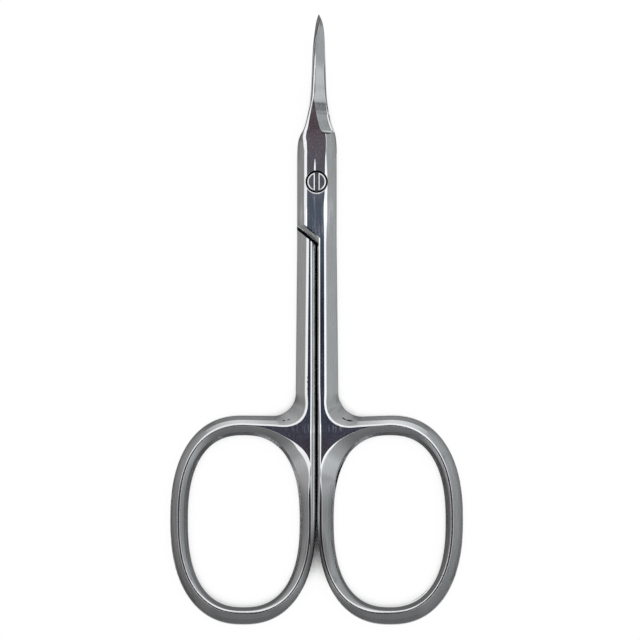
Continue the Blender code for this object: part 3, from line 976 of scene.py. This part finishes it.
class Graph:
    """Node tree that nodes are added to by kind, settings and inputs."""

    def __init__(self, tree):
        self.tree = tree

    def add(self, kind, settings=None, inputs=None, output=0):
        node = self.tree.nodes.new(kind)
        for name, value in (settings or {}).items():
            if name == "stops":
                ramp = node.color_ramp
                while len(ramp.elements) < len(value):
                    ramp.elements.new(1.0)
                for element, (position, colour) in zip(ramp.elements, value):
                    element.position = position
                    element.color = (*colour, 1)
            else:
                setattr(node, name, value)
        for name, value in (inputs or {}).items():
            if isinstance(value, Wire):
                self.tree.links.new(value.socket, node.inputs[name])
            else:
                node.inputs[name].default_value = value
        return Wire(self, node.outputs[output])

    def math(self, operation, *values, clamp=False):
        settings = {"operation": operation, "use_clamp": clamp}
        return self.add("ShaderNodeMath", settings, dict(enumerate(values)))

    def mix(self, share, low, high):
        """Colour between two colours."""
        return self.add("ShaderNodeMix", {"data_type": "RGBA"}, {0: share, 6: low, 7: high}, output=2)

    def end(self, wire, node, socket):
        """Joins a wire to a node that is there already."""
        self.tree.links.new(wire.socket, self.tree.nodes[node].inputs[socket])


def grey(value):
    return (value, value, value, 1)


print("middle grey is", grey(0.5))

# %% [markdown]
# ## Polished steel
#
# The halves are hardened stainless steel, ground and then buffed. Buffing leaves long fine lines along the blade and
# shank, a mottled grain where the wheel pressed less, a few stray scratches and duller patches. Each is a noise on
# Object coordinates, stretched along the work. Together they tilt the mirror by a degree or less through a Bump node
# and vary its roughness. The colour follows them too, because lines too fine to tilt the mirror still show as
# lighter and darker streaks.
#
# Some places differ, each in a lens-shaped stroke: dark pits and short lines where the wheel couldn't reach, a coarse
# boss, and streaks below it and on the webs. Other strokes are painted dark reflections along the shoulder's edge,
# the crests beside the slit and the foot of the plunge, and painted shade where the loops meet below the slit.
# Ambient
# Occlusion paints shade into narrow gaps, darkening their colour to near black.

# %% Steel material
# Colour of the painted shade in narrow gaps.
GAP_SHADE = (0.015, 0.015, 0.017, 1)
GAP_WIDTH = 0.9


def steel(name, tone, dull, grain, lines, stains_and_painted_reflections=(), coarse=(), streaked=(), painted_shade_strokes=()):
    """Metal with buffing lines along Y, grain, scratches, duller patches, given strokes and painted shade in gaps."""
    material = bpy.data.materials.new(name)
    material.use_nodes = True
    graph = Graph(material.node_tree)
    where = graph.add("ShaderNodeTexCoord", output="Object")
    x, y = (graph.add("ShaderNodeSeparateXYZ", inputs={0: where}, output=axis) for axis in "XY")

    def strokes(spots):
        """Share of lens-shaped marks, each with two ends and half a width in millimetres."""
        total = x * 0
        for start, end, half_width in spots:
            start, end = (PIVOT + Vector((*spot, 0)) * MM for spot in (start, end))
            way = end - start
            over, up = x - start.x, y - start.y
            passed = (over * way.x + up * way.y) / way.xy.length_squared
            aside = (up * way.x - over * way.y) / (way.xy.length * half_width * MM)
            share = (passed * (1 - passed) * 4 - graph.math("ABSOLUTE", aside)).clamped()
            total = graph.math("MAXIMUM", total, share)
        return total

    def noise(scale, detail=2.0, turn=0.0, rough=0.5):
        mapped = graph.add("ShaderNodeMapping", inputs={0: where, 2: (0, 0, turn), 3: scale})
        inputs = {"Vector": mapped, "Scale": 1.0, "Detail": detail, "Roughness": rough}
        return graph.add("ShaderNodeTexNoise", inputs=inputs)

    streaks = noise((5200, 260, 5200), 3.0)
    fine_lines = noise((17000, 700, 17000), 2.0)
    mottle = noise((5200, 4200, 5200), 3.0, rough=0.6)
    patches = noise((420, 300, 420), 2.0)
    scratch = graph.math("ABSOLUTE", noise((2600, 240, 2600), 1.0, turn=0.35) - 0.5)
    scratch = (scratch * -60.0 + 1.0).clamped()
    specks = ((mottle - 0.52) * 7).clamped() * (strokes(coarse) * 2).clamped()
    bands = ((streaks - 0.50) * 8).clamped() * (strokes(streaked) * 2).clamped()

    height = streaks * lines + fine_lines * (lines * 0.25) + mottle * grain - scratch * 0.03
    bump = graph.add("ShaderNodeBump", inputs={"Strength": 1.0, "Distance": 0.00002, "Height": height})
    roughness = dull + (patches - 0.5) * 0.08 + (mottle - 0.5) * 0.06 + scratch * 0.04 + bands * 0.05

    dark, plain, bright = ((*(value * share for value in tone), 1) for share in (0.80, 1.0, 1.5))
    polish = (patches * 0.7 + streaks * 0.9 + fine_lines * 0.4 - 0.4).clamped()
    colour = graph.mix(graph.math("MAXIMUM", specks, bands), graph.mix(polish, dark, plain), bright)
    # Real pits and short lines, and painted dark reflections, are darkened to near black.
    colour = graph.mix((strokes(stains_and_painted_reflections) * 3).clamped(), colour, grey(0.03))
    # Painted shade where the loops meet below the slit and shade each other.
    colour = graph.mix((strokes(painted_shade_strokes) * 1.6).clamped(), colour, grey(0.10))
    reach = {"Distance": GAP_WIDTH * MM}
    open_share = graph.add("ShaderNodeAmbientOcclusion", {"samples": 8}, reach, output="AO")
    # Painted shade: where Ambient Occlusion finds a narrow gap, the colour is darkened to near black.
    colour = graph.mix(((open_share - 0.38) / 0.30).clamped(), GAP_SHADE, colour)

    shader = "Principled BSDF"
    graph.end(colour, shader, "Base Color")
    graph.end(roughness, shader, "Roughness")
    graph.end(bump, shader, "Normal")
    material.node_tree.nodes[shader].inputs["Metallic"].default_value = 1
    return material


FILLET_STAINS = [((-5.14, -35.24), (-4.57, -35.16), 0.09), ((-4.40, -35.15), (-3.86, -35.02), 0.08)]
FILLET_STAINS += [((3.63, -34.71), (4.41, -35.20), 0.11), ((4.15, -35.10), (5.46, -35.31), 0.13)]
# The first stroke is a painted dark reflection along the shoulder's edge; the rest are small pits.
SHANK_PITS_AND_PAINTED_REFLECTION = [((-2.05, -6.19), (0.20, -8.10), 0.13), ((-1.50, -28.7), (-1.22, -29.0), 0.06)]
SHANK_PITS_AND_PAINTED_REFLECTION += [((-1.46, -29.3), (-1.20, -29.9), 0.07), ((-1.42, -30.3), (-1.24, -30.9), 0.06)]
# Painted dark reflections of the level crests beside the slit.
SLIT_PAINTED_REFLECTIONS = [((-0.98, -41.5), (-0.96, -55.5), 0.15), ((0.55, -43.5), (0.62, -56.5), 0.16)]
# Painted dark reflection below the plunge's light line.
PLUNGE_PAINTED_REFLECTION = [((0.75, 7.17), (2.25, 7.17), 0.12)]
half_steel = steel(
    "buffed_steel",
    tone=(0.62, 0.625, 0.63),
    dull=0.09,
    grain=0.16,
    lines=0.28,
    stains_and_painted_reflections=FILLET_STAINS + SHANK_PITS_AND_PAINTED_REFLECTION + SLIT_PAINTED_REFLECTIONS + PLUNGE_PAINTED_REFLECTION,
    coarse=[((0.1, 2.0), (-0.6, 9.6), 1.8)],
    streaked=[((0.0, 0.5), (0.0, -9.5), 3.0), ((-5.8, -36.4), (5.8, -36.4), 0.9)],
    # Painted shade where the loops meet below the slit.
    painted_shade_strokes=[((0.0, -48.5), (0.0, -69.5), 2.4)],
)
screw_steel = steel("turned_steel", tone=(0.60, 0.60, 0.60), dull=0.12, grain=0.3, lines=0.3)
for piece, finish in ((front_half, half_steel), (back_half, half_steel), (pivot_screw, screw_steel)):
    piece.data.materials.clear()
    piece.data.materials.append(finish)
print("steel nodes", len(half_steel.node_tree.nodes))

# %% [markdown]
# ## Floor
#
# The scissors lie on a plain white table. The table's own light reaches the camera and the mirrors of the steel at
# about its full white, and a share of it stays a lit surface that takes the soft shadow. Deep in the slit between
# the shanks no light arrives, which an Ambient Occlusion node tells the table.

# %% Make the floor
FLOOR_HALF = 1.5
SHADOW_REACH = 4.0
OWN_LIGHT = 1.02
OWN_SHARE = 0.92


def make_floor():
    bm = bmesh.new()
    bmesh.ops.create_grid(bm, x_segments=1, y_segments=1, size=FLOOR_HALF)
    floor = new_object("floor", bm)
    material = bpy.data.materials.new("white_table")
    material.use_nodes = True
    graph = Graph(material.node_tree)
    graph.tree.nodes.remove(graph.tree.nodes["Principled BSDF"])
    seen = graph.add("ShaderNodeLightPath", output="Is Camera Ray")
    for kind in ("Glossy", "Transmission"):
        ray = graph.add("ShaderNodeLightPath", output=f"Is {kind} Ray")
        seen = graph.math("MAXIMUM", seen, ray)
    reach = {"Distance": SHADOW_REACH * MM}
    open_sky = graph.add("ShaderNodeAmbientOcclusion", {"samples": 12}, reach, output="AO")
    glow = ((open_sky - 0.24) / 0.22).clamped()
    own = graph.add("ShaderNodeEmission", inputs={"Color": grey(1), "Strength": glow * OWN_LIGHT})
    lit = graph.add("ShaderNodeBsdfDiffuse", inputs={"Color": graph.mix(glow, grey(0.02), grey(0.95))})
    surface = graph.add("ShaderNodeMixShader", inputs={0: seen * OWN_SHARE, 1: lit, 2: own})
    graph.end(surface, "Material Output", "Surface")
    floor.data.materials.append(material)
    return floor


floor = make_floor()
print("floor", 2 * FLOOR_HALF, "m wide")

# %% [markdown]
# ## Studio light
#
# Small mirrors need a big light. The scissors stand in a white light tent, open at the top where the camera looks
# in and darker on the photographer's side. A world that depends on direction is the calmest way to give that. The
# angle from straight up and the bearing, which is 1 towards +Y and -1 towards the photographer, say where a ray
# goes. What stands round the camera in the opening gives the level flats their bands of colour, and curtains on the
# right shade stretches of the ground face. The background that the camera itself sees stays plain white.

# %% Make the world
SIDE_ROOF = [(0, 1.45), (40, 1.45), (47, 1.05), (53, 0.84), (57.5, 0.72), (61, 0.63), (65, 0.57), (71, 0.51)]
SIDE_ROOF += [(72.5, 0.50), (74.5, 0.42), (77, 0.34), (79, 0.27), (82, 0.13), (86, 0.07), (90, 0.05)]
BACK_ROOF = [(0, 1.30), (40, 1.40), (50, 1.0), (62, 0.45), (72, 0.24), (82, 0.16), (90, 0.12)]
CAMERA_SIDE = [(0, 0.06), (10, 0.06), (22, 0.12), (42, 0.22), (62, 0.22), (78, 0.18), (84, 0.14), (90, 0.12)]
OPENING = [(-0.30, (0.30, 0.29, 0.30)), (-0.16, (0.07, 0.065, 0.075)), (-0.06, (0.07, 0.05, 0.07))]
OPENING += [(-0.052, (0.06, 0.025, 0.032)), (-0.0495, (0.015, 0.018, 0.03)), (-0.0465, (0.16, 0.24, 0.36))]
OPENING += [(-0.0425, (0.12, 0.19, 0.30)), (-0.0385, (0.05, 0.08, 0.13)), (-0.0335, (0.02, 0.025, 0.05))]
OPENING += [(-0.01, (0.02, 0.022, 0.04)), (0.012, (0.022, 0.028, 0.06)), (0.03, (0.06, 0.09, 0.15))]
OPENING += [(0.04, (0.08, 0.15, 0.22)), (0.047, (0.13, 0.26, 0.36)), (0.052, (0.17, 0.21, 0.27))]
OPENING += [(0.058, (0.19, 0.14, 0.155)), (0.075, (0.165, 0.125, 0.14)), (0.13, (0.10, 0.075, 0.085))]
OPENING += [(0.20, (0.075, 0.055, 0.065))]
OPENING_WIDTH = 0.165
OPENING_LENGTH = 0.36
OPENING_FORWARD = 0.06
BRIGHTEST = 1.5
LEFT_TINT = (0.985, 0.975, 0.98, 1)
RIGHT_TINT = (1.20, 1.24, 1.26, 1)

# Bearings and angles from straight up between which each curtain hangs, and how dark it is.
CURTAINS = [((0.02, 0.42), (64.8, 70.5), 0.80), ((-0.25, 0.16), (62.5, 69.0), 0.27)]
CURTAINS += [((0.19, 0.34), (59.5, 64.5), 0.30)]


def make_world():
    world = bpy.data.worlds.new("light_tent")
    world.use_nodes = True
    bpy.context.scene.world = world
    graph = Graph(world.node_tree)
    graph.tree.nodes.remove(graph.tree.nodes["Background"])
    way = graph.add("ShaderNodeTexCoord", output="Generated")
    x, y, z = (graph.add("ShaderNodeSeparateXYZ", inputs={0: way}, output=axis) for axis in "XYZ")
    degrees = graph.math("ARCCOSINE", z) * math.degrees(1)
    bearing = y / graph.math("SQRT", x * x + y * y + 1e-6)

    def ramp(stops, place):
        """Colour at a place between stops, each a place and a colour."""
        low, length = stops[0][0], stops[-1][0] - stops[0][0]
        stops = [((at - low) / length, [value / BRIGHTEST for value in colour]) for at, colour in stops]
        return graph.add("ShaderNodeValToRGB", {"stops": stops}, {"Fac": ((place - low) / length).clamped()})

    roofs = (SIDE_ROOF, BACK_ROOF, CAMERA_SIDE)
    side, back, front = (ramp([(at, [light] * 3) for at, light in roof], degrees) for roof in roofs)
    to_back = ((bearing - 0.25) / 0.6).clamped()
    near_opening = ((42 - degrees) / 8).clamped()
    to_camera = ((-0.55 - near_opening * 0.38 - bearing) / (0.35 - near_opening * 0.28)).clamped()
    tent = graph.mix(to_camera, graph.mix(to_back, side, back), front)
    tint = graph.mix((x * 0.5 + 0.5).clamped(), LEFT_TINT, RIGHT_TINT)
    tent = graph.add("ShaderNodeVectorMath", {"operation": "MULTIPLY"}, {0: tent, 1: tint})
    for bearings, heights, dark in CURTAINS:
        hung = graph.math("GREATER_THAN", x, 0.0) * dark
        for place, (low, high), fade in ((bearing, bearings, 0.04), (degrees, heights, 1.5)):
            hung = hung * ((place - low) / fade).clamped() * ((high - place) / fade).clamped()
        tent = graph.mix(hung, tent, grey(0.02))

    seen_above = ramp(OPENING, y)
    wide, long = x / OPENING_WIDTH, (y - OPENING_FORWARD) / OPENING_LENGTH
    out = graph.math("SQRT", wide * wide + long * long)
    inside = ((1.15 - out) / 0.3).clamped() * graph.math("GREATER_THAN", z, 0.0)
    tent = graph.mix(inside, tent, seen_above)
    light = graph.add("ShaderNodeBackground", inputs={"Color": tent, "Strength": BRIGHTEST})
    plain = graph.add("ShaderNodeBackground", inputs={"Color": grey(1), "Strength": 1.0})
    seen = graph.add("ShaderNodeLightPath", output="Is Camera Ray")
    surface = graph.add("ShaderNodeMixShader", inputs={0: seen, 1: light, 2: plain})
    graph.end(surface, "World Output", "Surface")
    print("world nodes", len(graph.tree.nodes))


make_world()

# %% [markdown]
# ## Camera
#
# The picture is taken from straight above with a long lens, which shows 94.7 mm across at 2 mm above the table.

# %% Make the camera
VIEW_WIDTH = 0.0947
VIEW_CENTRE = Vector((0.00049, 0.00004, 0.0))
CAMERA_HEIGHT = 0.36
VIEW_HEIGHT = 0.002

camera_data = bpy.data.cameras.new("camera")
camera_data.lens = camera_data.sensor_width * CAMERA_HEIGHT / VIEW_WIDTH
camera_data.clip_start = 0.01
camera = bpy.data.objects.new("camera", camera_data)
camera.location = VIEW_CENTRE + Vector((0, 0, CAMERA_HEIGHT + VIEW_HEIGHT))
scene = bpy.context.scene
scene.collection.objects.link(camera)
scene.camera = camera
scene.view_settings.view_transform = "Standard"
print("lens", round(camera_data.lens, 1), "mm")
